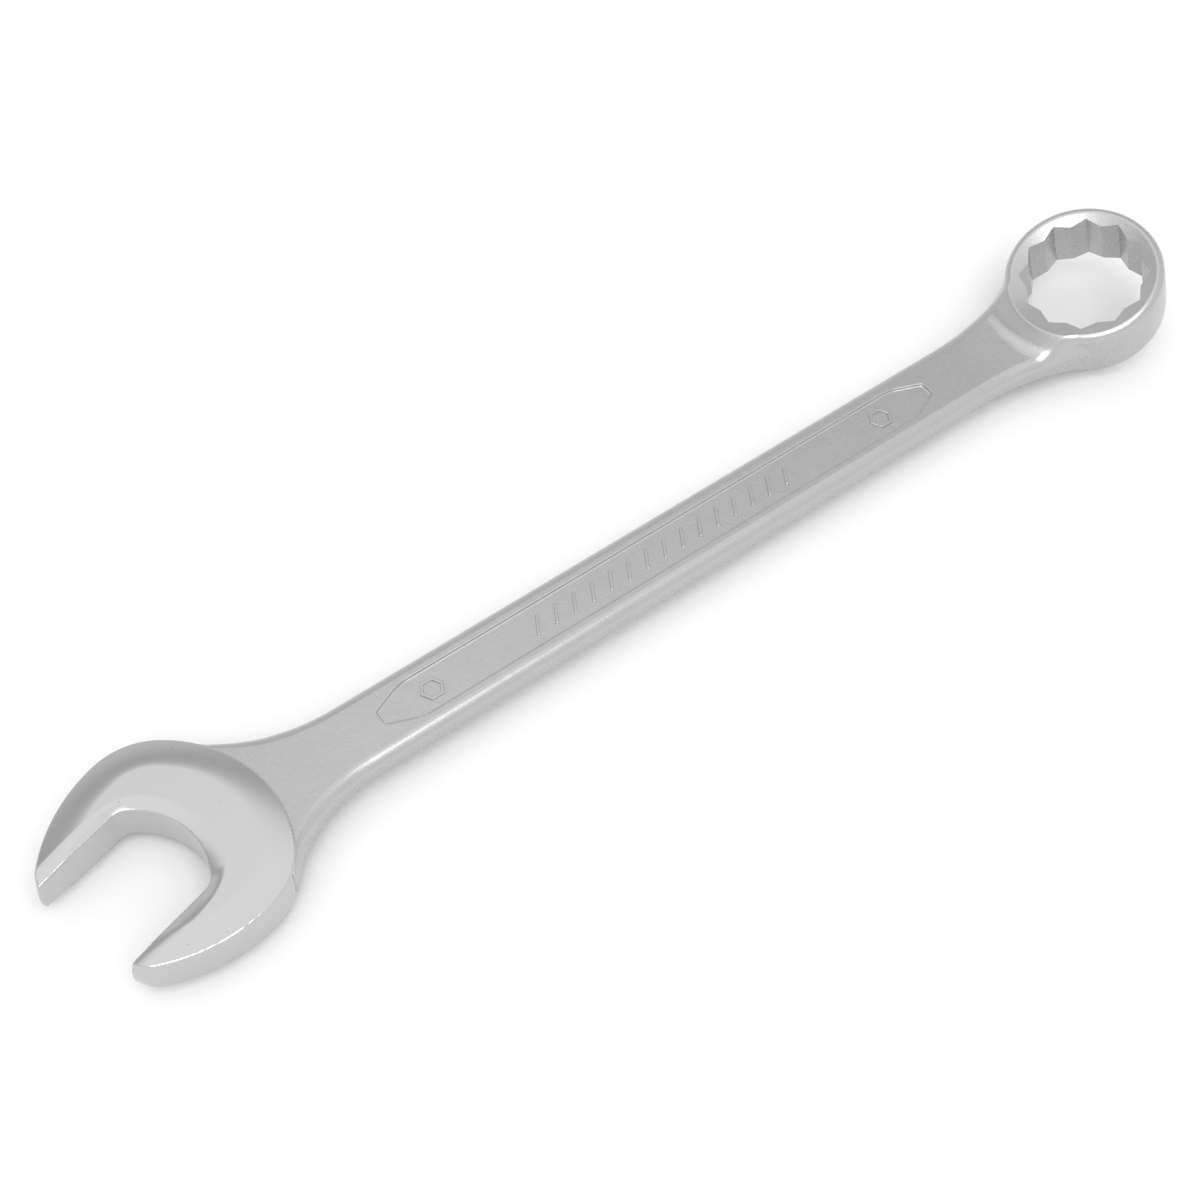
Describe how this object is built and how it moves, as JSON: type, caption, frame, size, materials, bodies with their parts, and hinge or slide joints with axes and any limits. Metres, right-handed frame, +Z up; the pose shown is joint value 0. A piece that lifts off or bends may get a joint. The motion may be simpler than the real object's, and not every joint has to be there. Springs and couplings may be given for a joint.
{
  "type": "combination wrench",
  "caption": "Forged combination wrench with an angled open jaw at one end and a tilted twelve-point ring at the other, joined by a flat shank with a recessed panel.",
  "frame": {"origin": "on the bench surface, under the middle of the whole tool's bounding box", "axes": "+X along the shank from the open jaw to the ring; +Z up, normal to the shank's flat faces; +Y completes the right hand, on the side away from which the jaw opens"},
  "size_m": [0.3655, 0.0627, 0.0312],
  "materials": {
    "satin_plate": "satin chrome plate over a shot-blasted forging, fine pearl grain",
    "polished_faces": "smooth semi-bright chrome plate over ground faces"
  },
  "bodies": {
    "root": {"open_end_head": "polished_faces", "open_end_neck": "satin_plate", "shank": "satin_plate", "jaw_size_mark": "satin_plate", "slanted_bar_marks": "satin_plate", "ring_size_mark": "satin_plate", "ring_neck": "satin_plate", "ring_end": "satin_plate"}
  },
  "joints": []
}
